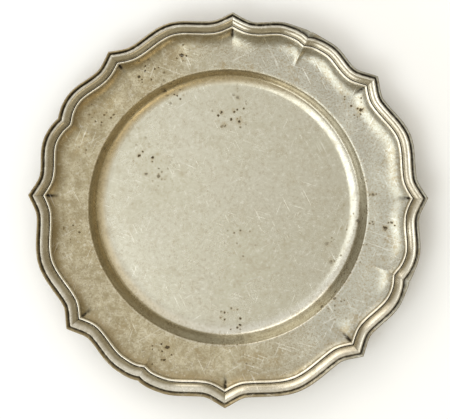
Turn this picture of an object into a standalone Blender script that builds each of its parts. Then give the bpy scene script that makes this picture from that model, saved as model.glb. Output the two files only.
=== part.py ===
"""Offering plate with a shaped rim: a raised sheet-metal dish whose edge carries a broad half-round
moulding and a thin bead inside it, both in twelve soldered lengths mitred at the corners of the outline.

Metres, +Z up. The origin is under the middle of the floor, on the table. +Y is the plate's rear corner.
"""
import math

import bmesh
import bpy
import numpy as np
from mathutils import Matrix

# ---- driving dimensions, metres and degrees -------------------------------------------------------
SHEET = 0.0012              # thickness of the raised sheet
FLOOR_RADIUS = 0.0917       # flat floor
SHOULDER_RADIUS = 0.1062    # where the curved wall turns over into the flange
WELL_DEPTH = 0.0152         # shoulder above floor
SHOULDER_TURN = 0.08        # share of the wall's width taken by the turn at the shoulder
WALL_EASE = 1.25            # how fast the wall flattens towards the floor
WALL_STEPS = (0.0, 0.05, 0.13, 0.26, 0.43, 0.66, 1.0)
FLANGE_RISE = 0.0009        # flange, from the shoulder to the foot of the cove
RIM_SLOPE = math.radians(29.0)   # the rim climbs outwards under the two borders
FLANGE_SLOPE = math.radians(3.0)
COVE_OUTER = 0.0095         # cove, measured inwards from the border line
COVE_INNER = 0.0195
GAP = 0.0003                # solder clearance between touching pieces

# The border line is the outer foot of the broad moulding. Its corners are set out by hand:
# bearing from +Y towards +X, degrees, then radius.
TIPS = ((1.4, 0.1476), (47.9, 0.1491), (86.6, 0.1483), (137.6, 0.1489),
        (180.9, 0.1488), (233.3, 0.1492), (274.3, 0.1482), (323.2, 0.1475))
NOTCHES = ((24.7, 0.1444), (111.8, 0.1432), (207.6, 0.1445), (298.6, 0.1430))
WAIST_RADIUS = 0.1418       # hollow on each side of a tip
WAIST_AWAY = 6.5            # degrees from the tip
LOBE_RADIUS = 0.1465        # fullest point of each lobe
LOBE_AWAY = 7.2             # degrees from a notch; a plain lobe is fullest midway
TIP_FALL = 0.00138          # metres of radius per degree, leaving a tip
NOTCH_CLIMB = 0.00100       # leaving a notch

LEDGE = 0.0021              # sheet left outside the moulding
LEDGE_UNEVEN = 0.0003       # trimmed wider at -Y than at +Y
NOTCH_LEFT = (0.0022, 0.0017, 0.0001, 0.0001)   # extra sheet left across each notch
NOTCH_LEFT_WIDTH = 2.6      # degrees

MOULDING = (0.0002, 0.0069)      # broad half-round, from and to, inwards from the border line
MOULDING_HEIGHT = 0.0025
BEAD = (0.0073, 0.0094)
BEAD_HEIGHT = 0.0013

HALF_STEPS = (0.0, 0.07, 0.16, 0.27, 0.42, 0.60, 0.80, 1.0)   # tip to notch, as shares of the span
FULL_STEPS = (0.0, 0.045, 0.105, 0.18, 0.28, 0.39, 0.50,
              0.61, 0.72, 0.82, 0.895, 0.955, 1.0)            # tip to tip

COLLECTION = "offering_plate"


def clear_scene():
    for obj in list(bpy.data.objects):
        bpy.data.objects.remove(obj, do_unlink=True)
    collection = bpy.data.collections.new(COLLECTION)
    bpy.context.scene.collection.children.link(collection)
    return collection


def metal(name, colour, roughness):
    material = bpy.data.materials.new(name)
    material.use_nodes = True
    shader = material.node_tree.nodes["Principled BSDF"]
    shader.inputs["Base Color"].default_value = (*colour, 1.0)
    shader.inputs["Roughness"].default_value = roughness
    shader.inputs["Metallic"].default_value = 1.0
    material.diffuse_color = (*colour, 1.0)
    return material


# ---- outline --------------------------------------------------------------------------------------

def corners():
    """All twelve corners by bearing: (bearing, radius, is_tip)."""
    both = [(b, r, True) for b, r in TIPS] + [(b, r, False) for b, r in NOTCHES]
    return sorted(both)


def hermite(a, b, radius_a, radius_b, fall_a, fall_b, at):
    """Radius between two bearings, from the radius and its change per degree at each."""
    width = b - a
    u = (at - a) / width
    return (radius_a * (1 + 2 * u) * (1 - u) ** 2 + radius_b * u * u * (3 - 2 * u)
            + fall_a * width * u * (1 - u) ** 2 - fall_b * width * u * u * (1 - u))


def span_keys(start, end):
    """Bearings that shape one side, each with its radius and its change per degree."""
    keys = []
    (b0, r0, tip0), (b1, r1, tip1) = start, end
    keys.append((b0, r0, -TIP_FALL if tip0 else NOTCH_CLIMB))
    if tip0:
        keys.append((b0 + WAIST_AWAY, WAIST_RADIUS, 0.0))
    if tip0 and tip1:
        keys.append(((b0 + b1) / 2, LOBE_RADIUS, 0.0))
    elif tip0:
        keys.append((b1 - LOBE_AWAY, LOBE_RADIUS, 0.0))
    else:
        keys.append((b0 + LOBE_AWAY, LOBE_RADIUS, 0.0))
    if tip1:
        keys.append((b1 - WAIST_AWAY, WAIST_RADIUS, 0.0))
    keys.append((b1, r1, TIP_FALL if tip1 else -NOTCH_CLIMB))
    return keys


def side_radius(keys, at):
    """Radius of the border line on one side at the given bearings."""
    out = np.zeros_like(at)
    for (a, ra, fa), (b, rb, fb) in zip(keys[:-1], keys[1:]):
        inside = (at >= a) & (at <= b)
        out[inside] = hermite(a, b, ra, rb, fa, fb, at[inside])
    return out


def spans():
    """The twelve sides, each as its two corners, the second always at the larger bearing."""
    all_corners = corners()
    closed = all_corners + [(all_corners[0][0] + 360.0, *all_corners[0][1:])]
    return list(zip(closed[:-1], closed[1:]))


def side_offset(span, distance, at):
    """Radius, at the given bearings, of the line this far inwards of one side and its extension."""
    keys = span_keys(*span)
    bearing = np.linspace(keys[0][0], keys[-1][0], 241)
    radius = side_radius(keys, bearing)
    x = radius * np.sin(np.radians(bearing))
    y = radius * np.cos(np.radians(bearing))
    reach = 0.03
    for end, inner in ((0, 1), (-1, -2)):
        step = np.array([x[end] - x[inner], y[end] - y[inner]])
        far = np.array([x[end], y[end]]) + step / np.linalg.norm(step) * reach
        x = np.insert(x, 0, far[0]) if end == 0 else np.append(x, far[0])
        y = np.insert(y, 0, far[1]) if end == 0 else np.append(y, far[1])
    tangent = np.gradient(np.stack([x, y]), axis=1)
    tangent /= np.linalg.norm(tangent, axis=0)
    inset_x = x + distance * tangent[1]
    inset_y = y - distance * tangent[0]
    centre = (keys[0][0] + keys[-1][0]) / 2
    angle = np.degrees(np.arctan2(inset_x, inset_y))
    angle = (angle - centre + 180.0) % 360.0 - 180.0 + centre
    order = np.argsort(angle)
    return np.interp(at, angle[order], np.hypot(inset_x, inset_y)[order])


def side_bearings(span):
    (b0, _, tip0), (b1, _, tip1) = span
    if tip0 and tip1:
        shares = np.array(FULL_STEPS)
    elif tip0:
        shares = np.array(HALF_STEPS)
    else:
        shares = 1.0 - np.array(HALF_STEPS[::-1])
    return b0 + (b1 - b0) * shares


def ring(distance):
    """Closed line this far inwards of the border line: bearings and radii, corners once each."""
    bearings, radii = [], []
    sides = spans()
    for index, span in enumerate(sides):
        at = side_bearings(span)[:-1]
        radius = side_offset(span, distance, at)
        before = sides[index - 1]
        turn = 360.0 if index == 0 else 0.0
        other = side_offset(before, distance, np.array([at[0] + turn]))[0]
        radius[0] = (radius[0] + other) / 2
        bearings.append(at)
        radii.append(radius)
    return np.concatenate(bearings), np.concatenate(radii)


def edge_ring():
    """The trimmed edge of the sheet, a little uneven and left fuller across the notches."""
    bearing, border = ring(0.0)
    _, outside = ring(-LEDGE)
    share = 1.0 - LEDGE_UNEVEN / LEDGE * np.cos(np.radians(bearing))
    radius = border + (outside - border) * share
    for (at, _), extra in zip(NOTCHES, NOTCH_LEFT):
        away = (bearing - at + 180.0) % 360.0 - 180.0
        radius += extra * np.exp(-(away / NOTCH_LEFT_WIDTH) ** 2)
    return bearing, radius


# ---- heights --------------------------------------------------------------------------------------

SHOULDER_Z = SHEET + WELL_DEPTH
COVE_FOOT_Z = SHOULDER_Z + FLANGE_RISE


def sheet_top(distance):
    """Height of the sheet's upper face, inwards from the border line, from the edge to the cove's foot."""
    run = COVE_INNER - COVE_OUTER
    low, high = math.tan(FLANGE_SLOPE), math.tan(RIM_SLOPE)
    if distance >= COVE_OUTER:
        t = (COVE_INNER - distance) / run
        return COVE_FOOT_Z + run * (low * t + (high - low) * t * t / 2)
    return COVE_FOOT_Z + run * (low + high) / 2 + (COVE_OUTER - distance) * high


def wall_profile():
    """Radius and height of the round part: steep below the shoulder, easing into the floor."""
    share = np.linspace(0.0, 1.0, 401)
    steep = np.minimum(share / SHOULDER_TURN, 1.0) * (1.0 - share) ** WALL_EASE
    fall = np.append(0.0, np.cumsum((steep[1:] + steep[:-1]) / 2))
    fall /= fall[-1]
    width = SHOULDER_RADIUS - FLOOR_RADIUS
    return [(SHOULDER_RADIUS - width * s, SHOULDER_Z - WELL_DEPTH * np.interp(s, share, fall))
            for s in WALL_STEPS]


# ---- pieces ---------------------------------------------------------------------------------------

def finish(obj, angle):
    for polygon in obj.data.polygons:
        polygon.use_smooth = True
    obj.data.set_sharp_from_angle(angle=math.radians(angle))


def loft(name, rings):
    """Open skin over closed rings of equal count, outermost first, closed by a flat floor."""
    mesh = bmesh.new()
    loops = []
    for line in rings:
        loops.append([mesh.verts.new(point) for point in line])
    count = len(loops[0])
    for outer, inner in zip(loops[:-1], loops[1:]):
        for i in range(count):
            j = (i + 1) % count
            mesh.faces.new((outer[i], inner[i], inner[j], outer[j]))
    mesh.faces.new(loops[-1])
    bmesh.ops.recalc_face_normals(mesh, faces=mesh.faces)
    mesh.faces.ensure_lookup_table()
    if mesh.faces[-1].normal.z < 0:
        bmesh.ops.reverse_faces(mesh, faces=mesh.faces)
    data = bpy.data.meshes.new(name)
    mesh.to_mesh(data)
    mesh.free()
    return bpy.data.objects.new(name, data)


def polar_points(bearing, radius, z):
    angle = np.radians(bearing)
    height = np.broadcast_to(z, bearing.shape)
    return [tuple(p) for p in np.stack([radius * np.sin(angle), radius * np.cos(angle), height], axis=1)]


def make_body(collection, material):
    """Floor, wall, flange and coved rim raised from one sheet."""
    bearing, edge = edge_ring()
    rings = [polar_points(bearing, edge, sheet_top(-LEDGE))]
    for distance in (0.0, COVE_OUTER / 2, COVE_OUTER, 0.0125, 0.0157, COVE_INNER):
        rings.append(polar_points(bearing, ring(distance)[1], sheet_top(distance)))
    foot = ring(COVE_INNER)[1]
    half_way = (foot + SHOULDER_RADIUS) / 2
    rings.append(polar_points(bearing, half_way, COVE_FOOT_Z - FLANGE_RISE / 2))
    for radius, z in wall_profile():
        rings.append(polar_points(bearing, np.full(bearing.shape, radius), z))
    obj = loft("plate_body", rings)
    collection.objects.link(obj)
    obj.data.materials.append(material)
    solid = obj.modifiers.new("sheet thickness", "SOLIDIFY")
    solid.thickness = SHEET
    solid.offset = -1.0
    solid.use_even_offset = True
    finish(obj, 30)
    return obj


def half_round(across, height, base_gap, steps):
    """Section of a half-round wire lying on the sloping rim, about the middle of its base."""
    start, end = across
    middle = (start + end) / 2
    lean = math.tan(RIM_SLOPE)
    points = []
    for i in range(steps + 1):
        turn = math.pi * i / steps
        along = -math.cos(turn) * (end - start) / 2
        bulge = height * math.sin(turn) ** 0.8
        points.append((along, -along * lean + bulge + base_gap / math.cos(RIM_SLOPE)))
    return middle, points


def profile_curve(name, points):
    data = bpy.data.curves.new(name, "CURVE")
    data.dimensions = "2D"
    spline = data.splines.new("POLY")
    spline.points.add(len(points) - 1)
    for point, (x, y) in zip(spline.points, points):
        point.co = (x, y, 0.0, 1.0)
    spline.use_cyclic_u = True
    return bpy.data.objects.new(name, data)


def border_path(name, span, distance, profile):
    """Sweep of the section along one side, running on past both corners."""
    at = side_bearings(span)
    radius = side_offset(span, distance, at)
    xy = np.stack([radius * np.sin(np.radians(at)), radius * np.cos(np.radians(at))], axis=1)
    reach = 0.010
    first = xy[0] + (xy[0] - xy[1]) / np.linalg.norm(xy[0] - xy[1]) * reach
    last = xy[-1] + (xy[-1] - xy[-2]) / np.linalg.norm(xy[-1] - xy[-2]) * reach
    xy = np.vstack([first, xy, last])
    data = bpy.data.curves.new(name, "CURVE")
    data.dimensions = "3D"
    data.twist_mode = "Z_UP"
    spline = data.splines.new("POLY")
    spline.points.add(len(xy) - 1)
    for point, (x, y) in zip(spline.points, xy):
        point.co = (x, y, sheet_top(distance), 1.0)
    data.bevel_mode = "OBJECT"
    data.bevel_object = profile
    data.use_fill_caps = True
    return bpy.data.objects.new(name, data)


def curve_to_mesh(curve, collection):
    """The swept curve as a closed mesh, caps welded, with the curve removed."""
    collection.objects.link(curve)
    name = curve.name
    graph = bpy.context.evaluated_depsgraph_get()
    data = bpy.data.meshes.new_from_object(curve.evaluated_get(graph))
    obj = bpy.data.objects.new(name + "_mesh", data)
    obj.matrix_world = curve.matrix_world
    collection.objects.link(obj)
    bpy.data.objects.remove(curve, do_unlink=True)
    obj.name = name
    data.name = name
    return obj


def mitre(obj, span):
    """Trims a swept length at the planes of its two corners, leaving the solder gap."""
    mesh = bmesh.new()
    mesh.from_mesh(obj.data)
    bmesh.ops.remove_doubles(mesh, verts=mesh.verts, dist=0.00001)
    for (bearing, _, _), side in zip(span, (-1.0, 1.0)):
        angle = math.radians(bearing)
        across = (math.cos(angle) * side, -math.sin(angle) * side, 0.0)
        middle = (-across[0] * GAP / 2, -across[1] * GAP / 2, 0.0)
        cut = bmesh.ops.bisect_plane(
            mesh, geom=mesh.verts[:] + mesh.edges[:] + mesh.faces[:], dist=0.000001,
            plane_co=middle, plane_no=across, clear_outer=True)
        rim = [e for e in cut["geom_cut"] if isinstance(e, bmesh.types.BMEdge)]
        bmesh.ops.contextual_create(mesh, geom=rim)
    bmesh.ops.recalc_face_normals(mesh, faces=mesh.faces)
    mesh.to_mesh(obj.data)
    mesh.free()


def make_border(collection, stem, across, height, steps, material):
    """Twelve lengths of one border wire, corner to corner round the rim."""
    middle, points = half_round(across, height, GAP, steps)
    profile = profile_curve(stem + "_section", points)
    collection.objects.link(profile)
    for index, span in enumerate(spans(), start=1):
        curve = border_path(f"{stem}_{index:02d}", span, middle, profile)
        obj = curve_to_mesh(curve, collection)
        mitre(obj, span)
        obj.data.materials.clear()
        obj.data.materials.append(material)
        finish(obj, 40)
    bpy.data.objects.remove(profile, do_unlink=True)


def settle():
    """Moves every piece together so that the origin is under the middle of the plate's outline."""
    bearing, radius = edge_ring()
    x = radius * np.sin(np.radians(bearing))
    y = radius * np.cos(np.radians(bearing))
    shift = Matrix.Translation((-(x.max() + x.min()) / 2, -(y.max() + y.min()) / 2, 0.0))
    for obj in bpy.data.objects:
        obj.data.transform(shift)


def main():
    collection = clear_scene()
    sheet = metal("worn_sheet", (0.62, 0.59, 0.52), 0.36)
    border = metal("worn_moulding", (0.68, 0.65, 0.58), 0.28)
    bead = metal("worn_bead", (0.70, 0.67, 0.60), 0.26)
    make_body(collection, sheet)
    make_border(collection, "rim_moulding", MOULDING, MOULDING_HEIGHT, 7, border)
    make_border(collection, "bead_wire", BEAD, BEAD_HEIGHT, 4, bead)
    settle()


main()
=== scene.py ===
"""Looks for the offering plate: fine meshes and worn-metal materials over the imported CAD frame."""
import math

import bpy
import numpy as np
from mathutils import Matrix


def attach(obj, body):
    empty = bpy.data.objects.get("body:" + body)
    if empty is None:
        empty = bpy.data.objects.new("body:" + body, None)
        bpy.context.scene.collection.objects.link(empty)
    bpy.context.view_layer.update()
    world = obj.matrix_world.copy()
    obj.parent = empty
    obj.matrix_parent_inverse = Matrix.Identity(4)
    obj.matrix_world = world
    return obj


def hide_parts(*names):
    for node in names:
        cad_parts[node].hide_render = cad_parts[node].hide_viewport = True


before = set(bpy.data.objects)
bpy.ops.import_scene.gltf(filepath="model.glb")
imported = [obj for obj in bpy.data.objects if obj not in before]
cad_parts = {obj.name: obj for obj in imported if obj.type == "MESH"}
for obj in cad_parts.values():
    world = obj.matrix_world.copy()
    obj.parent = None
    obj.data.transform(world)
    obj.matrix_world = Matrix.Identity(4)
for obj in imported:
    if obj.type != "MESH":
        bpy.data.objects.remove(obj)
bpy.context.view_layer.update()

# ---- dimensions, metres and degrees ---------------------------------------------------------------
# They repeat the CAD part's. The wall, the flange's rise, the cove and the folds at the notches follow
# the photo more closely than the CAD section does, and the wires lie closer than the solder gap.

SHEET = 0.0012              # thickness of the raised sheet
FLOOR_RADIUS = 0.0917
SHOULDER_RADIUS = 0.1062    # where the wall turns over into the flange
WELL_DEPTH = 0.0152         # shoulder above floor
WALL_SLOPES = ((0.0, 3.0), (0.04, 14.0), (0.13, 67.0), (0.35, 67.0), (0.52, 24.0), (0.92, 8.0),
               (1.0, 1.0))      # share of the wall's width from the shoulder, and slope there
FLANGE_RISE = 0.00067       # flange, from the shoulder to the foot of the cove
RIM_SLOPE = math.radians(29.0)   # the rim climbs outwards under the two borders
FLANGE_SLOPE = math.radians(3.0)
COVE_OUTER = 0.0095         # cove, measured inwards from the border line
COVE_INNER = 0.0240
COVE_POWER = 2.9            # how the cove's height grows from its foot: most of the turn is near the top

# The border line is the outer foot of the broad moulding. Its corners are listed one by one:
# bearing from +Y towards +X, then radius.
TIPS = ((1.4, 0.1476), (47.9, 0.1491), (86.6, 0.1483), (137.6, 0.1489),
        (180.9, 0.1488), (233.3, 0.1492), (274.3, 0.1482), (323.2, 0.1475))
NOTCHES = ((24.7, 0.1444), (111.8, 0.1432), (207.6, 0.1445), (298.6, 0.1430))
RIM_RADIUS = 0.145          # usual radius of the border, to turn lengths into bearings
WAIST_RADIUS = 0.1418       # hollow on each side of a tip
WAIST_AWAY = 6.5            # degrees from the tip
LOBE_RADIUS = 0.1465        # fullest point of each lobe
LOBE_AWAY = 7.2             # degrees from a notch; a plain lobe is fullest midway
TIP_FALL = 0.00138          # metres of radius per degree, leaving a tip
NOTCH_CLIMB = 0.00100       # leaving a notch

LEDGE = 0.0021              # sheet left outside the moulding
LEDGE_UNEVEN = 0.0003       # trimmed wider at -Y than at +Y
NOTCH_LEFT = (0.0022, 0.0017, 0.0001, 0.0001)   # extra sheet left across each notch
NOTCH_LEFT_WIDTH = 2.6      # degrees
EDGE_BULGE = 0.0004         # how far the trimmed edge is rounded out
SHOULDER_EASE = 0.0002      # the flange's rings are spaced to end this far outside the wall's first

NOTCH_FOLDS = (0.00055, 0.00030, 0.00025, 0.00030)   # height of the fold inside each notch
FOLD_FROM = 0.0085          # insets between which the folds run
FOLD_TO = 0.0245
FOLD_HALF_WIDTH = 0.0034
CREASE_FROM = 0.0088        # insets between which dirt lies in the valley inside each tip
CREASE_FULL = 0.0125
CREASE_TO = 0.0178
CREASE_WIDTH = 0.0013

SEAMS = ((0.0, 1.0), (0.0071, 1.0), (0.0095, 0.25))   # inset of each foot of a wire, and its dirt
SEAM_WIDTH = 0.00060
EDGE_DIRT = 0.15
UNDER_DIRT = 0.12
MIDDLE_DIRT = (0.0, 0.1)     # at the sheet's two middle points, upper and under

MOULDING = (0.0001, 0.0070)      # broad half-round, from and to, inwards from the border line
MOULDING_HEIGHT = 0.0025
MOULDING_STEPS = 24
MOULDING_DIRT = (0.62, 0.36)     # how far dirt climbs each foot, outer and inner, radians of the round
BEAD = (0.0072, 0.0095)
BEAD_HEIGHT = 0.0013
BEAD_STEPS = 14
BEAD_DIRT = (0.22, 0.12)
WIRE_SINK = 0.00005         # how deep the wires sit in the sheet
MITRE_GAP = 0.000008        # left at each end of a wire
MITRE_PINCH = 0.02          # share of its height that a wire loses at its ends
MITRE_PINCH_LENGTH = 0.00020
MITRE_DIRT = 0.25
MITRE_DIRT_LENGTH = 0.00025

FLANGE_SWELL = ((0.028, 0.060), 0.00020, 3)    # waves: shortest and longest, height, random seed
FLANGE_RIPPLE = ((0.012, 0.026), 0.00003, 5)
FLOOR_SWELL = ((0.045, 0.110), 0.00010, 9)
FLOOR_LIFT = 0.00022        # raises the floor's middle, so that its waves stay clear of the table
FLANGE_FADE = 0.012         # widths over which the flange's and the floor's waves grow to full height
FLOOR_FADE = 0.02
RIM_FADE = 0.004            # climb of the rim over which the flange's waves die down
WAVES = 18                  # in each sum of waves

HALF_SEGMENTS = 40          # bearings across a side that runs from a tip to a notch
FULL_SEGMENTS = 58          # and across one that runs from tip to tip
LEDGE_STEPS = (0.0, 0.2, 0.45, 0.7, 0.87)      # rings, as shares of the ledge
RIM_STEPS = (0.0, 0.0006, 0.0020, 0.0040, 0.0060, 0.0069, 0.0071, 0.0074, 0.0090, 0.0095, 0.0098,
             0.0102, 0.0107, 0.0113, 0.0120, 0.0127, 0.0135, 0.0143, 0.0151, 0.0160, 0.0170,
             0.0182, 0.0195, 0.0210, 0.0225, COVE_INNER)    # as insets from the border line
FLANGE_STEPS = 8            # as equal parts of the flange
WALL_RINGS = 38
FLOOR_STEPS = (0.97, 0.93, 0.87, 0.79, 0.69, 0.58, 0.46, 0.34, 0.22, 0.10)  # shares of its radius
SHOULDER_Z = SHEET + WELL_DEPTH
COVE_FOOT_Z = SHOULDER_Z + FLANGE_RISE

# ---- finish, lights and camera --------------------------------------------------------------------

FLOOR_BRIGHT = (0.505, 0.480, 0.385)
FLOOR_CLOUD = (0.450, 0.425, 0.330)
# painted shade: the floor and wall are mixed towards this darker colour towards the right
FLOOR_PAINTED_SHADE = (0.375, 0.350, 0.265)
FLANGE_BRIGHT = (0.450, 0.400, 0.275)
FLANGE_DULL = (0.330, 0.280, 0.170)
FLANGE_GREY = (0.375, 0.360, 0.295)
# painted highlight: the whole wall is lifted towards this brighter, greyer colour
WALL_PAINTED_HIGHLIGHT = (0.570, 0.555, 0.490)
# painted reflection: warm ochre on the wall towards the upper left
WALL_PAINTED_REFLECTION = (0.680, 0.575, 0.370)
WIRE_BRIGHT = (0.60, 0.565, 0.475)
WIRE_CLOUD = (0.46, 0.415, 0.325)
# the bead's colours are lighter than the wire's: worn polish on its top, and in part a painted highlight
# that lifts its dark reflections
BEAD_WORN_SHEEN_BRIGHT = (0.82, 0.770, 0.650)
BEAD_WORN_SHEEN_CLOUD = (0.66, 0.605, 0.490)
DIRT_FILM = (0.26, 0.205, 0.120)
RUBBED = (0.68, 0.655, 0.580)
SCRATCH = (0.80, 0.78, 0.71)
CREVICE_DIRT = (0.030, 0.022, 0.012)
PIT_DIRT = (0.050, 0.033, 0.014)
# brown: real stains in the flange's patches and round the pits, and painted shade in the cove
BROWN_STAIN_AND_SHADE = (0.28, 0.205, 0.095)

SHEET_ROUGH = 0.24
WIRE_ROUGH = 0.20
BEAD_ROUGH = 0.24
FLANGE_BLEND = (0.096, 0.108)   # radii between which the floor's colours give way to the flange's
SMEAR = 0.008                   # how far cloudiness shifts that line

# bearing and distance of each cluster of pits from the well's middle, and its radius
PIT_CLUSTERS = ((330.0, 0.118, 0.016), (343.0, 0.124, 0.010), (335.0, 0.097, 0.014),
                (300.0, 0.070, 0.016), (2.0, 0.070, 0.018), (308.0, 0.120, 0.014),
                (205.0, 0.122, 0.016), (178.0, 0.088, 0.014), (50.0, 0.121, 0.014),
                (98.0, 0.124, 0.010), (262.0, 0.120, 0.012))
# cells per metre, pit's share of its cell, and share of the cells left clean
PITS = ((420.0, 0.34, 0.80), (210.0, 0.27, 0.84), (90.0, 0.17, 0.66))
# turn in degrees, streaks per metre along and across, and a shift that makes each set different
SCRATCHES = ((18.0, 42.0, 900.0, 0.3), (64.0, 36.0, 760.0, 1.9),
             (112.0, 46.0, 820.0, 3.1), (151.0, 32.0, 980.0, 4.7))
SCRATCH_LEVEL = 0.66        # noise above this is a scratch

SWELL_RELIEF = 0.00004      # heights of the fine relief, metres
GRAIN_RELIEF = 0.000004
SCRATCH_DEPTH = 0.00002
PIT_DEPTH = 0.00010
TURNING_RELIEF = 0.00004
TURNING_LINES = 560.0       # per metre of radius

CEILING_LEAN = (-0.20, 0.30, 1.0)      # the ceiling is brighter towards the upper left
CEILING_BAND = (0.42, 0.97)            # where the walls begin to brighten, and full ceiling
WALLS_COLOUR = (0.40, 0.355, 0.250)
CEILING_COLOUR = (1.0, 0.995, 0.97)
CEILING_STRENGTH = 1.18
# name, position, width and height, radiance, colour; all face the plate
SOFTBOXES = (("window", (-1.09, -0.86, 2.65), (1.7, 1.45), 2.15, (0.88, 0.95, 1.0)),
             ("low_window", (-2.15, -1.95, 0.85), (3.6, 1.3), 2.1, (0.93, 0.97, 1.0)),
             ("doorway", (-1.3, 2.0, 1.9), (1.9, 1.3), 1.9, (1.0, 0.98, 0.93)),
             ("low_card", (-1.3, 2.7, 0.8), (3.6, 1.3), 1.1, (1.0, 0.97, 0.90)),
             ("lamp", (1.2, -1.9, 2.0), (1.4, 0.35), 1.5, (1.0, 0.84, 0.58)))
TABLE_HALF = 30.0
TABLE_WHITE = (0.93, 0.93, 0.93)

CAMERA_LEAN = math.radians(8.97)
CAMERA_DISTANCE = 5.0
CAMERA_AIM = (-0.00239, 0.00102, 0.024)
LENS = 530.52               # millimetres, on a sensor 36 mm wide


# ---- outline --------------------------------------------------------------------------------------

def spans():
    """The twelve sides, each as its two corners (bearing, radius, is_tip)."""
    corners = sorted([(b, r, True) for b, r in TIPS] + [(b, r, False) for b, r in NOTCHES])
    closed = corners + [(corners[0][0] + 360.0, *corners[0][1:])]
    return list(zip(closed[:-1], closed[1:]))


def span_keys(start, end):
    """Bearings that shape one side, each with its radius and its change per degree."""
    (b0, r0, tip0), (b1, r1, tip1) = start, end
    keys = [(b0, r0, -TIP_FALL if tip0 else NOTCH_CLIMB)]
    if tip0:
        keys.append((b0 + WAIST_AWAY, WAIST_RADIUS, 0.0))
    if tip0 and tip1:
        keys.append(((b0 + b1) / 2, LOBE_RADIUS, 0.0))
    elif tip0:
        keys.append((b1 - LOBE_AWAY, LOBE_RADIUS, 0.0))
    else:
        keys.append((b0 + LOBE_AWAY, LOBE_RADIUS, 0.0))
    if tip1:
        keys.append((b1 - WAIST_AWAY, WAIST_RADIUS, 0.0))
    keys.append((b1, r1, TIP_FALL if tip1 else -NOTCH_CLIMB))
    return keys


def side_radius(keys, at):
    """Radius of the border line on one side at the given bearings."""
    out = np.zeros_like(at)
    for (a, ra, fa), (b, rb, fb) in zip(keys[:-1], keys[1:]):
        inside = (at >= a) & (at <= b)
        u = (at[inside] - a) / (b - a)
        out[inside] = (ra * (1 + 2 * u) * (1 - u) ** 2 + rb * u * u * (3 - 2 * u)
                       + (fa * (1 - u) - fb * u) * (b - a) * u * (1 - u))
    return out


def side_offset(span, distance, at):
    """Radius, at the given bearings, of the line this far inwards of one side.

    The side is first carried straight on past its corners, so that neighbouring lines meet in mitres.
    """
    keys = span_keys(*span)
    samples, extension = 601, 0.03
    bearing = np.linspace(keys[0][0], keys[-1][0], samples)
    radius = side_radius(keys, bearing)
    x = radius * np.sin(np.radians(bearing))
    y = radius * np.cos(np.radians(bearing))
    for end, inner in ((0, 1), (-1, -2)):
        step = np.array([x[end] - x[inner], y[end] - y[inner]])
        far = np.array([x[end], y[end]]) + step / np.linalg.norm(step) * extension
        x = np.insert(x, 0, far[0]) if end == 0 else np.append(x, far[0])
        y = np.insert(y, 0, far[1]) if end == 0 else np.append(y, far[1])
    tangent = np.gradient(np.stack([x, y]), axis=1)
    tangent /= np.linalg.norm(tangent, axis=0)
    inset_x = x + distance * tangent[1]
    inset_y = y - distance * tangent[0]
    centre = (keys[0][0] + keys[-1][0]) / 2
    angle = np.degrees(np.arctan2(inset_x, inset_y))
    angle = (angle - centre + 180.0) % 360.0 - 180.0 + centre
    order = np.argsort(angle)
    return np.interp(at, angle[order], np.hypot(inset_x, inset_y)[order])


def side_bearings(span):
    """Bearings across one side, closer together towards its corners."""
    (b0, _, tip0), (b1, _, tip1) = span
    count = FULL_SEGMENTS if tip0 and tip1 else HALF_SEGMENTS
    even = np.linspace(0.0, 1.0, count + 1)
    eased = (1.0 - np.cos(np.pi * even)) / 2
    return b0 + (b1 - b0) * (0.35 * even + 0.65 * eased)


SIDES = spans()
BEARING = np.concatenate([side_bearings(side)[:-1] for side in SIDES])


def ring(distance):
    """Radius at every bearing of the line this far inwards of the border line."""
    radii = []
    for index, side in enumerate(SIDES):
        at = side_bearings(side)[:-1]
        radius = side_offset(side, distance, at)
        turn = 360.0 if index == 0 else 0.0
        other = side_offset(SIDES[index - 1], distance, np.array([at[0] + turn]))[0]
        radius[0] = (radius[0] + other) / 2
        radii.append(radius)
    return np.concatenate(radii)


def from_bearing(at, centre):
    """Degrees from one bearing to another, the short way round."""
    return (at - centre + 180.0) % 360.0 - 180.0


def edge_radius():
    """The trimmed edge of the sheet, a little uneven and left fuller across the notches."""
    border = ring(0.0)
    share = 1.0 - LEDGE_UNEVEN / LEDGE * np.cos(np.radians(BEARING))
    radius = border + (ring(-LEDGE) - border) * share
    for (at, _), extra in zip(NOTCHES, NOTCH_LEFT):
        radius += extra * np.exp(-(from_bearing(BEARING, at) / NOTCH_LEFT_WIDTH) ** 2)
    return radius


EDGE = edge_radius()
EDGE_X = EDGE * np.sin(np.radians(BEARING))
EDGE_Y = EDGE * np.cos(np.radians(BEARING))
MIDDLE = np.array([(EDGE_X.max() + EDGE_X.min()) / 2, (EDGE_Y.max() + EDGE_Y.min()) / 2])


def place(bearing, radius, z):
    """Points in the frame, whose origin is under the middle of the outline and not of the well."""
    angle = np.radians(bearing)
    parts = np.broadcast_arrays(radius * np.sin(angle) - MIDDLE[0],
                                radius * np.cos(angle) - MIDDLE[1], z)
    return np.stack(parts, axis=-1).astype(float)


# ---- heights --------------------------------------------------------------------------------------

def sheet_top(distance):
    """Height of the sheet's upper face from its edge to the foot of the cove."""
    run = COVE_INNER - COVE_OUTER
    low, high = math.tan(FLANGE_SLOPE), math.tan(RIM_SLOPE)
    t = (COVE_INNER - max(distance, COVE_OUTER)) / run
    rise = run * (low * t + (high - low) * t ** COVE_POWER / COVE_POWER)
    return COVE_FOOT_Z + rise + max(COVE_OUTER - distance, 0.0) * high


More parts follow.
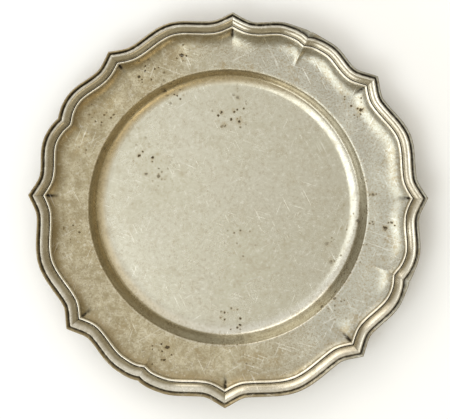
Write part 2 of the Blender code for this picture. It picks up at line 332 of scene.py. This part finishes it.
def wall_profile(count):
    """Radius and height of the round wall: a rounded shoulder, a steep face, a wide easy foot."""
    share = np.linspace(0.0, 1.0, 801)
    known_at, slope = zip(*WALL_SLOPES)
    steep = np.interp(share, known_at, np.tan(np.radians(slope)))
    reach = 30                  # samples on each side that the smoothing blends
    smooth = np.hanning(2 * reach + 1)
    steep = np.convolve(np.pad(steep, reach, mode="edge"), smooth / smooth.sum(), mode="valid")
    fall = np.append(0.0, np.cumsum((steep[1:] + steep[:-1]) / 2))
    fall /= fall[-1]
    at = np.linspace(0.0, 1.0, count) ** 1.15
    width = SHOULDER_RADIUS - FLOOR_RADIUS
    return SHOULDER_RADIUS - width * at, SHOULDER_Z - WELL_DEPTH * np.interp(at, share, fall)


def undulation(x, y, swell):
    """Gentle unevenness of hand-worked sheet: a sum of waves in many directions."""
    wavelengths, height, seed = swell
    local = np.random.default_rng(seed)
    total = np.zeros_like(x)
    for _ in range(WAVES):
        angle = local.uniform(0, math.tau)
        wave = math.tau / local.uniform(*wavelengths)
        phase = local.uniform(0, math.tau)
        total += np.sin(wave * (x * math.cos(angle) + y * math.sin(angle)) + phase)
    return total * height / math.sqrt(WAVES)


# ---- meshes ---------------------------------------------------------------------------------------

def add_mesh(name, points, faces, attributes, material, node):
    """A smooth mesh with its point attributes, riding on the body and standing for a CAD node."""
    mesh = bpy.data.meshes.new(name)
    mesh.from_pydata([tuple(p) for p in points], [], faces)
    mesh.update()
    for key, values in attributes.items():
        layer = mesh.attributes.new(key, "FLOAT", "POINT")
        layer.data.foreach_set("value", np.asarray(values, dtype=np.float32))
    mesh.polygons.foreach_set("use_smooth", [True] * len(mesh.polygons))
    mesh.set_sharp_from_angle(angle=math.radians(50))
    mesh.materials.append(material)
    obj = bpy.data.objects.new(name, mesh)
    bpy.context.scene.collection.objects.link(obj)
    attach(obj, "root")
    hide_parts(node)
    return obj


def band_faces(rings, count):
    """Quads between closed rings of equal count, wound so that rings running inwards face up."""
    faces = []
    for r in range(rings - 1):
        a = r * count
        b = a + count
        for i in range(count):
            j = (i + 1) % count
            faces.append((a + i, b + i, b + j, a + j))
    return faces


def crease_grime(distance):
    """Dirt in the short valley that runs inwards from each tip, at this inset."""
    total = np.zeros_like(BEARING)
    if not CREASE_FROM < distance < CREASE_TO:
        return total
    fade = 1.0 - max(0.0, (distance - CREASE_FULL) / (CREASE_TO - CREASE_FULL))
    for at, radius in TIPS:
        away = np.radians(from_bearing(BEARING, at)) * radius
        total += 1.1 * np.exp(-(away / CREASE_WIDTH) ** 2)
    return np.clip(total * fade, 0.0, 1.0)


def notch_folds(distance):
    """Height of the sharp little fold that runs inwards from each notch, at this inset."""
    total = np.zeros_like(BEARING)
    if not FOLD_FROM <= distance <= FOLD_TO:
        return total
    fade = math.sin(math.pi * ((distance - FOLD_FROM) / (FOLD_TO - FOLD_FROM)) ** 0.6) ** 0.8
    for (at, radius), fold in zip(NOTCHES, NOTCH_FOLDS):
        away = np.abs(np.radians(from_bearing(BEARING, at))) * radius
        total += fold * fade * np.maximum(0.0, 1.0 - away / FOLD_HALF_WIDTH) ** 1.6
    return total


def sheet_rings():
    """Upper face of the sheet from its edge to the middle: radii, heights and dirt, ring by ring."""
    rings = []
    for share in LEDGE_STEPS:
        radius = EDGE - EDGE_BULGE + (ring(0.0) - EDGE + EDGE_BULGE) * share
        rings.append((radius, sheet_top(-LEDGE * (1 - share)), EDGE_DIRT + 0.7 * share ** 2))
    for distance in RIM_STEPS:
        seam = max(dirt * math.exp(-((distance - line) / SEAM_WIDTH) ** 2) for line, dirt in SEAMS)
        rings.append((ring(distance), sheet_top(distance) + notch_folds(distance),
                      np.maximum(seam, crease_grime(distance))))
    foot = ring(COVE_INNER)
    for share in np.linspace(0.0, 1.0, FLANGE_STEPS + 1)[1:-1]:
        radius = foot + (SHOULDER_RADIUS + SHOULDER_EASE - foot) * share
        rings.append((radius, COVE_FOOT_Z - FLANGE_RISE * share, 0.0))
    for radius, z in zip(*wall_profile(WALL_RINGS)):
        rings.append((radius, z, 0.0))
    for share in FLOOR_STEPS:
        rings.append((FLOOR_RADIUS * share, SHEET, 0.0))
    return [np.array([part + np.zeros_like(BEARING) for part in parts]) for parts in zip(*rings)]


def grid_normals(points):
    """Upward normals of a closed grid of rings."""
    around = np.roll(points, -1, axis=1) - np.roll(points, 1, axis=1)
    inwards = np.gradient(points, axis=0)
    normal = np.cross(inwards, around)
    normal /= np.linalg.norm(normal, axis=2, keepdims=True)
    return normal * np.sign(normal[:, :, 2:3])


def make_sheet(material):
    """Floor, wall, flange and rim as one raised sheet with a rounded, trimmed edge."""
    radii, heights, grimes = sheet_rings()
    top = place(BEARING[None, :], radii, heights)
    x, y = top[:, :, 0], top[:, :, 1]
    on_flange = np.clip((radii - SHOULDER_RADIUS) / FLANGE_FADE, 0.0, 1.0)
    border = np.clip((heights - COVE_FOOT_Z) / RIM_FADE, 0.0, 1.0)
    waves = undulation(x, y, FLANGE_SWELL) * on_flange * (1.0 - 0.75 * border)
    waves += undulation(x, y, FLANGE_RIPPLE) * on_flange * (1.0 - 0.7 * border)
    on_floor = np.clip((FLOOR_RADIUS - radii) / FLOOR_FADE, 0.0, 1.0)
    waves += (undulation(x, y, FLOOR_SWELL) + FLOOR_LIFT) * on_floor
    top[:, :, 2] += waves
    normal = grid_normals(top)
    under = top - normal * SHEET
    under[:, :, 2] = np.maximum(under[:, :, 2], 0.0)

    rings, count = top.shape[:2]
    outwards = np.stack([np.sin(np.radians(BEARING)), np.cos(np.radians(BEARING)),
                         np.zeros_like(BEARING)], axis=1)
    outwards -= normal[0] * np.sum(outwards * normal[0], axis=1, keepdims=True)
    outwards /= np.linalg.norm(outwards, axis=1, keepdims=True)
    middle = (top[0] + under[0]) / 2
    edge = []
    turns = (36, 72, 108, 144)      # degrees round the edge, from the upper face to the lower
    for turn in turns:
        angle = math.radians(turn)
        edge.append(middle + normal[0] * math.cos(angle) * SHEET / 2
                    + outwards * math.sin(angle) * EDGE_BULGE)
    layers = np.concatenate([top[::-1], np.array(edge), under])
    points = layers.reshape(-1, 3)
    faces = [tuple(reversed(face)) for face in band_faces(len(layers), count)]
    first, last = len(points), len(points) + 1
    points = np.vstack([points, top[-1].mean(axis=0), under[-1].mean(axis=0)])
    end = (len(layers) - 1) * count
    for i in range(count):
        j = (i + 1) % count
        faces.append((first, j, i))
        faces.append((last, end + i, end + j))
    grime = np.concatenate([grimes[::-1].ravel(), np.full(len(turns) * count, EDGE_DIRT),
                            np.full(rings * count, UNDER_DIRT), MIDDLE_DIRT])
    return add_mesh("plate_sheet", points, faces, {"grime": grime}, material,
                    "plate_body")


def section(across, height, steps, dirt):
    """Half-round section lying on the sloping rim: insets, heights above it and dirt, outer foot first."""
    start, end = across
    turn = np.linspace(0.0, np.pi, steps + 1)
    inset = (start + end) / 2 - np.cos(turn) * (end - start) / 2
    outer, inner = dirt
    grime = np.maximum(np.exp(-(turn / outer) ** 2), np.exp(-((np.pi - turn) / inner) ** 2))
    return inset, height * np.sin(turn) ** 0.85 - WIRE_SINK, grime


def make_wire(name, side, profile, material, node):
    """One length of border wire between two corners, with mitred ends a little pinched and dirty."""
    at = side_bearings(side)
    gap = np.degrees(MITRE_GAP / RIM_RADIUS)
    at = np.clip(at, at[0] + gap, at[-1] - gap)
    from_end = np.minimum(at - at[0], at[-1] - at) * math.radians(1.0) * RIM_RADIUS
    pinch = 1.0 - MITRE_PINCH * np.exp(-(from_end / MITRE_PINCH_LENGTH) ** 2)
    end_dirt = MITRE_DIRT * np.exp(-(from_end / MITRE_DIRT_LENGTH) ** 2)
    rows, grimes = [], []
    for inset, rise, dirt in zip(*profile):
        rows.append(place(at, side_offset(side, inset, at), sheet_top(inset) + rise * pinch))
        grimes.append(np.maximum(dirt, end_dirt))
    count, last = len(at), (len(rows) - 1) * len(at)
    faces = []
    for start in range(0, last, count):
        for a in range(start, start + count - 1):
            faces.append((a + count, a + 1 + count, a + 1, a))
    for i in range(count - 1):
        faces.append((i, i + 1, last + i + 1, last + i))
    faces.append(tuple(range(last, -1, -count)))
    faces.append(tuple(range(count - 1, last + count, count)))
    return add_mesh(name, np.array(rows).reshape(-1, 3), faces,
                    {"grime": np.array(grimes).ravel()}, material, node)


# ---- materials ------------------------------------------------------------------------------------

class MetalNodes:
    """One worn metal's node tree: short calls that add nodes, and the noises that its layers share.

    The noises' scales are per metre.
    """

    def __init__(self, name):
        self.material = bpy.data.materials.new(name)
        self.material.use_nodes = True
        self.tree = self.material.node_tree
        self.shader = self.tree.nodes["Principled BSDF"]
        self.object_at = self.tree.nodes.new("ShaderNodeTexCoord").outputs["Object"]
        self.clouds = self.noise(15.0, 3.0, 0.55, warp=0.5)
        self.mottle = self.noise(130.0, 6.0, 0.70, warp=0.2)
        self.fleck = self.noise(420.0, 4.0, 0.65)
        self.grain = self.noise(1100.0, 2.0, 0.6)

    def link(self, source, target):
        """Feeds a socket from another node's output, or sets it to a plain value."""
        if hasattr(source, "is_output"):
            self.tree.links.new(source, target)
        else:
            target.default_value = source

    def node(self, kind, inputs=None, **settings):
        made = self.tree.nodes.new(kind)
        for key, value in settings.items():
            setattr(made, key, value)
        for key, value in (inputs or {}).items():
            self.link(value, made.inputs[key])
        return made

    def math(self, operation, a, b, clamp=False):
        return self.node("ShaderNodeMath", {0: a, 1: b}, operation=operation,
                         use_clamp=clamp).outputs[0]

    def plus(self, a, b, clamp=False):
        return self.math("ADD", a, b, clamp)

    def minus(self, a, b):
        return self.math("SUBTRACT", a, b)

    def times(self, a, b, clamp=False):
        return self.math("MULTIPLY", a, b, clamp)

    def vector(self, operation, a, b=(0.0, 0.0, 0.0)):
        """A vector sum or product, or the plain number that a length or a distance gives."""
        made = self.node("ShaderNodeVectorMath", {0: a, 1: b}, operation=operation)
        return made.outputs["Value" if operation in ("LENGTH", "DISTANCE") else "Vector"]

    def axes(self, vector):
        return self.node("ShaderNodeSeparateXYZ", {"Vector": vector}).outputs

    def remap(self, value, low, high, to_low=0.0, to_high=1.0):
        """A smooth step between two limits, which may be given high first to turn it round."""
        made = self.node("ShaderNodeMapRange", {
            "Value": value, "From Min": low, "From Max": high,
            "To Min": to_low, "To Max": to_high}, interpolation_type="SMOOTHSTEP")
        return made.outputs[0]

    def noise(self, scale, detail=3.0, rough=0.55, vector=None, warp=0.0):
        made = self.node("ShaderNodeTexNoise", {
            "Vector": vector or self.object_at, "Scale": scale, "Detail": detail,
            "Roughness": rough, "Distortion": warp})
        return made.outputs["Fac"]

    def stretched(self, turn, along, across, shift):
        """Coordinates for streaks: long one way, fine the other."""
        turned = self.node("ShaderNodeMapping", {
            "Vector": self.object_at, "Rotation": (0.0, 0.0, math.radians(turn))})
        made = self.node("ShaderNodeMapping", {
            "Vector": turned.outputs[0], "Location": (shift, shift * 0.7, 0.0),
            "Scale": (along, across, along)})
        return made.outputs[0]

    def mix(self, share, a, b):
        """A colour between two, each given as red, green and blue or as an output."""
        made = self.tree.nodes.new("ShaderNodeMix")
        made.data_type = "RGBA"
        self.link(share, made.inputs[0])
        for value, socket in ((a, made.inputs[6]), (b, made.inputs[7])):
            self.link((*value, 1.0) if isinstance(value, tuple) else value, socket)
        return made.outputs[2]


class DishPlaces:
    """Where a point of the big sheet is: across, up, and how far from the middle of the well."""

    def __init__(self, n):
        centred = n.vector("ADD", n.object_at, (MIDDLE[0], MIDDLE[1], 0.0))
        self.flat = n.vector("MULTIPLY", centred, (1.0, 1.0, 0.0))
        self.radius = n.vector("LENGTH", self.flat)
        self.x, self.y, _ = n.axes(self.flat)
        self.height = n.axes(n.object_at)[2]
        self.on_flange = n.remap(n.plus(self.radius, n.times(n.clouds, SMEAR)), *FLANGE_BLEND)


def floor_and_flange(n, dish, colour):
    """A floor with painted shade towards the right, and a browner flange that is greyer at the right."""
    rightwards = n.plus(dish.x, n.times(dish.y, -0.35))
    # painted shade, growing towards the right of the floor and wall
    shade = n.remap(n.plus(rightwards, n.times(n.clouds, 0.05)), -0.055, 0.115)
    colour = n.mix(n.times(shade, 0.70), colour, FLOOR_PAINTED_SHADE)
    flange = n.mix(n.remap(n.mottle, 0.38, 0.62), FLANGE_BRIGHT, FLANGE_DULL)
    # the flange turns greyer towards the right
    rightwards = n.plus(dish.x, n.times(dish.y, 0.25))
    greyer_rightwards = n.remap(n.plus(rightwards, n.times(n.clouds, 0.10)), 0.0, 0.13)
    return n.mix(dish.on_flange, colour, n.mix(greyer_rightwards, flange, FLANGE_GREY))


def wall_painted_light(n, dish, colour):
    """A painted highlight lifting the whole wall brighter, and a painted warm ochre reflection towards the
    upper left.
    """
    in_wall = n.times(n.remap(dish.radius, FLOOR_RADIUS - 0.001, FLOOR_RADIUS + 0.005),
                      n.remap(dish.radius, SHOULDER_RADIUS + 0.001, SHOULDER_RADIUS - 0.002))
    leftwards = n.plus(n.times(dish.x, -0.85), n.times(dish.y, 0.5))
    warm_reflection = n.remap(leftwards, -0.06, 0.075, 0.05, 0.8)
    colour = n.mix(n.times(in_wall, 0.8), colour, WALL_PAINTED_HIGHLIGHT)
    return n.mix(n.times(in_wall, warm_reflection), colour, WALL_PAINTED_REFLECTION)


def cove_painted_shade(n, dish, colour):
    """Painted brown shade in the cove, at the left and the bottom."""
    in_cove = n.remap(dish.height, COVE_FOOT_Z + 0.0006, COVE_FOOT_Z + 0.0026)
    leftwards = n.plus(n.times(dish.x, -1.0), n.times(dish.y, -0.35))
    # painted shade: browner towards the left and the bottom of the cove
    shaded = n.remap(n.plus(leftwards, n.times(n.mottle, 0.06)), -0.05, 0.10, 0.0, 0.60)
    return n.mix(n.times(in_cove, shaded), colour, BROWN_STAIN_AND_SHADE)


def flange_specks(n, dish, colour):
    """Brown patches and fine grit, on the flange only."""
    patch = n.remap(n.noise(48.0, 5.0, 0.65, warp=0.6), 0.52, 0.66)
    patch = n.times(n.times(patch, dish.on_flange), n.remap(n.fleck, 0.36, 0.56))
    colour = n.mix(n.times(patch, 0.50), colour, BROWN_STAIN_AND_SHADE)
    grit = n.times(n.remap(n.noise(720.0, 3.0, 0.65), 0.50, 0.64), dish.on_flange)
    return n.mix(n.times(grit, 0.68), colour, DIRT_FILM)


def thin_film(n, colour):
    """Dirt left in the mottling, and spots rubbed bright."""
    colour = n.mix(n.remap(n.mottle, 0.46, 0.72, 0.0, 0.30), colour, DIRT_FILM)
    colour = n.mix(n.remap(n.fleck, 0.50, 0.72, 0.0, 0.36), colour, DIRT_FILM)
    return n.mix(n.remap(n.fleck, 0.46, 0.30, 0.0, 0.30), colour, RUBBED)


def seam_dirt(n):
    """Dirt in the seams, from the mesh's own grime, broken up into patches."""
    grime = n.node("ShaderNodeAttribute", attribute_name="grime").outputs["Fac"]
    patchy = n.remap(n.noise(260.0, 3.0, 0.6), 0.28, 0.62, 0.50, 1.35)
    return n.times(grime, patchy, clamp=True)


def pit_crowding(n, dish):
    """Where pits are common: a few loose areas, and the listed clusters."""
    crowd = n.remap(n.noise(16.0, 3.0, 0.6), 0.56, 0.68, 0.0, 0.8)
    for bearing, reach, spread in PIT_CLUSTERS:
        angle = math.radians(bearing)
        at = (reach * math.sin(angle), reach * math.cos(angle), 0.0)
        away = n.vector("DISTANCE", dish.flat, at)
        crowd = n.math("MAXIMUM", crowd, n.remap(away, spread, spread * 0.5))
    return crowd


def pits(n, dish, colour, spoiled):
    """Black pits of three sizes, each in a brown halo. Gives the colour and what is spoiled so far."""
    crowd = pit_crowding(n, dish)
    for scale, size, clean in PITS:
        cell = n.node("ShaderNodeTexVoronoi", {"Vector": n.object_at, "Scale": scale})
        ragged = n.plus(cell.outputs["Distance"],
                        n.remap(n.fleck, 0.3, 0.7, -size * 0.5, size * 0.5))
        draw = n.node("ShaderNodeSeparateColor", {"Color": cell.outputs["Color"]}).outputs[0]
        chosen = n.times(n.math("GREATER_THAN", draw, clean), crowd)
        pitted = n.times(n.remap(ragged, size, size * 0.6), chosen)
        halo = n.times(n.remap(ragged, size * 2.0, size), chosen)
        colour = n.mix(n.times(halo, 0.40), colour, BROWN_STAIN_AND_SHADE)
        colour = n.mix(n.times(pitted, 0.9), colour, PIT_DIRT)
        spoiled = n.math("MAXIMUM", spoiled, pitted)
    return colour, spoiled


def scratches(n):
    """Hairline scratches: streaks in four directions, each in patches of its own."""
    scored = 0.0
    for turn, along, across, shift in SCRATCHES:
        streak = n.noise(1.0, 2.0, 0.5, n.stretched(turn, along, across, shift))
        patch = n.remap(n.noise(24.0 + turn * 0.1, 2.0), 0.42, 0.60)
        line = n.times(n.remap(streak, SCRATCH_LEVEL, SCRATCH_LEVEL + 0.05), patch)
        scored = n.math("MAXIMUM", line, scored)
    return scored


def fine_relief(n, scored):
    """Height of the uneven surface, its grain and its scratches."""
    height = n.times(n.noise(55.0, 2.0, 0.5), SWELL_RELIEF)
    height = n.plus(height, n.times(n.fleck, GRAIN_RELIEF))
    height = n.plus(height, n.times(n.grain, GRAIN_RELIEF))
    return n.minus(height, n.times(scored, SCRATCH_DEPTH))


def dish_relief(n, dish, height, spoiled):
    """Sinks the pits and dirty seams, and adds turning lines on and beside the wall."""
    height = n.minus(height, n.times(spoiled, PIT_DEPTH))
    across = n.node("ShaderNodeCombineXYZ", {"X": n.times(dish.radius, TURNING_LINES)}).outputs[0]
    lines = n.noise(1.0, 3.0, 0.7, across)
    turned = n.times(n.remap(dish.radius, FLOOR_RADIUS - 0.004, FLOOR_RADIUS + 0.003),
                     n.remap(dish.radius, SHOULDER_RADIUS + 0.004, SHOULDER_RADIUS))
    return n.plus(height, n.times(n.times(lines, turned), TURNING_RELIEF))


def worn_metal(name, bright, cloud, rough, is_dish):
    """Old silvery metal: cloudy colour, a thin film, hairline scratches, dirt in the seams.

    The dish also has what only the big sheet shows: a floor, wall, cove and flange of their own
    colours, with painted shade on the floor's right and in the cove and a painted highlight and warm
    reflection on the wall, turning lines by the wall, and pits.
    """
    n = MetalNodes(name)
    colour = n.mix(n.remap(n.clouds, 0.35, 0.68), bright, cloud)
    if is_dish:
        dish = DishPlaces(n)
        # the floor, wall and cove layers paint shade, a highlight and a warm reflection into the colour
        for layer in (floor_and_flange, wall_painted_light, cove_painted_shade, flange_specks):
            colour = layer(n, dish, colour)
    colour = thin_film(n, colour)
    spoiled = seam_dirt(n)
    colour = n.mix(spoiled, colour, CREVICE_DIRT)
    if is_dish:
        colour, spoiled = pits(n, dish, colour, spoiled)
    scored = scratches(n)
    colour = n.mix(n.times(scored, 0.28), colour, SCRATCH)
    height = fine_relief(n, scored)
    if is_dish:
        height = dish_relief(n, dish, height, spoiled)

    rough_now = n.remap(n.clouds, 0.3, 0.7, rough - 0.04, rough + 0.06)
    rough_now = n.plus(rough_now, n.remap(n.mottle, 0.4, 0.8, 0.0, 0.08))
    rough_now = n.plus(rough_now, n.times(spoiled, 0.35), clamp=True)
    bump = n.node("ShaderNodeBump", {"Height": height, "Distance": 1.0, "Strength": 1.0})
    n.link(colour, n.shader.inputs["Base Color"])
    n.link(rough_now, n.shader.inputs["Roughness"])
    n.link(n.minus(1.0, n.times(spoiled, 0.10)), n.shader.inputs["Metallic"])
    n.link(bump.outputs[0], n.shader.inputs["Normal"])
    return n.material


def plain(name, colour, rough):
    """A material of one colour."""
    material = bpy.data.materials.new(name)
    material.use_nodes = True
    shader = material.node_tree.nodes["Principled BSDF"]
    shader.inputs["Base Color"].default_value = (*colour, 1.0)
    shader.inputs["Roughness"].default_value = rough
    return material


# ---- stage ----------------------------------------------------------------------------------------

def make_floor():
    """A wide white table under the plate, which is not part of it."""
    half = TABLE_HALF
    mesh = bpy.data.meshes.new("floor")
    mesh.from_pydata([(-half, -half, 0), (half, -half, 0), (half, half, 0), (-half, half, 0)],
                     [], [(0, 1, 2, 3)])
    mesh.materials.append(plain("floor_white", TABLE_WHITE, 0.9))
    floor = bpy.data.objects.new("floor", mesh)
    bpy.context.scene.collection.objects.link(floor)


def make_ceiling():
    """A bright ceiling over dim warm walls, as the light from all round."""
    world = bpy.data.worlds.new("studio")
    bpy.context.scene.world = world
    world.use_nodes = True
    tree = world.node_tree
    direction = tree.nodes.new("ShaderNodeTexCoord").outputs["Generated"]
    lean = tree.nodes.new("ShaderNodeVectorMath")
    lean.operation = "DOT_PRODUCT"
    lean.inputs[1].default_value = CEILING_LEAN
    climb = tree.nodes.new("ShaderNodeMapRange")
    climb.interpolation_type = "SMOOTHSTEP"
    climb.inputs["From Min"].default_value = CEILING_BAND[0]
    climb.inputs["From Max"].default_value = CEILING_BAND[1]
    blend = tree.nodes.new("ShaderNodeMix")
    blend.data_type = "RGBA"
    blend.inputs[6].default_value = (*WALLS_COLOUR, 1.0)
    blend.inputs[7].default_value = (*CEILING_COLOUR, 1.0)
    background = tree.nodes["Background"]
    background.inputs["Strength"].default_value = CEILING_STRENGTH
    tree.links.new(direction, lean.inputs[0])
    tree.links.new(lean.outputs["Value"], climb.inputs["Value"])
    tree.links.new(climb.outputs[0], blend.inputs[0])
    tree.links.new(blend.outputs[2], background.inputs["Color"])


def make_softbox(name, position, size, radiance, colour):
    """A rectangular light of the given radiance, turned towards the plate."""
    data = bpy.data.lights.new(name, "AREA")
    data.shape = "RECTANGLE"
    data.size, data.size_y = size
    data.energy = radiance * size[0] * size[1] * math.pi
    data.color = colour
    light = bpy.data.objects.new(name, data)
    x, y, z = position
    light.location = position
    light.rotation_euler = (math.atan2(math.hypot(x, y), z), 0.0, math.atan2(x, -y))
    bpy.context.scene.collection.objects.link(light)


def make_camera():
    """Nearly overhead, leaning towards +Y, with +Y up in the picture."""
    data = bpy.data.cameras.new("camera")
    data.sensor_width = 36.0
    data.lens = LENS
    data.clip_end = 100.0
    camera = bpy.data.objects.new("camera", data)
    back = np.array([0.0, math.sin(CAMERA_LEAN), math.cos(CAMERA_LEAN)])
    camera.location = np.array(CAMERA_AIM) + CAMERA_DISTANCE * back
    camera.rotation_euler = (-CAMERA_LEAN, 0.0, 0.0)
    bpy.context.scene.collection.objects.link(camera)
    bpy.context.scene.camera = camera


def main():
    bpy.context.scene.view_settings.view_transform = "Standard"
    sheet = worn_metal("worn_silver_sheet", FLOOR_BRIGHT, FLOOR_CLOUD, SHEET_ROUGH, True)
    wire = worn_metal("worn_silver_wire", WIRE_BRIGHT, WIRE_CLOUD, WIRE_ROUGH, False)
    # the bead's lighter colours are partly a painted highlight
    bead = worn_metal("worn_silver_bead_painted_sheen", BEAD_WORN_SHEEN_BRIGHT, BEAD_WORN_SHEEN_CLOUD, BEAD_ROUGH, False)
    make_sheet(sheet)
    broad = section(MOULDING, MOULDING_HEIGHT, MOULDING_STEPS, MOULDING_DIRT)
    thin = section(BEAD, BEAD_HEIGHT, BEAD_STEPS, BEAD_DIRT)
    for index, side in enumerate(SIDES, start=1):
        make_wire(f"border_wire_{index:02d}", side, broad, wire,
                  f"rim_moulding_{index:02d}")
        make_wire(f"bead_{index:02d}", side, thin, bead,
                  f"bead_wire_{index:02d}")
    make_floor()
    make_ceiling()
    for softbox in SOFTBOXES:
        make_softbox(*softbox)
    make_camera()


main()
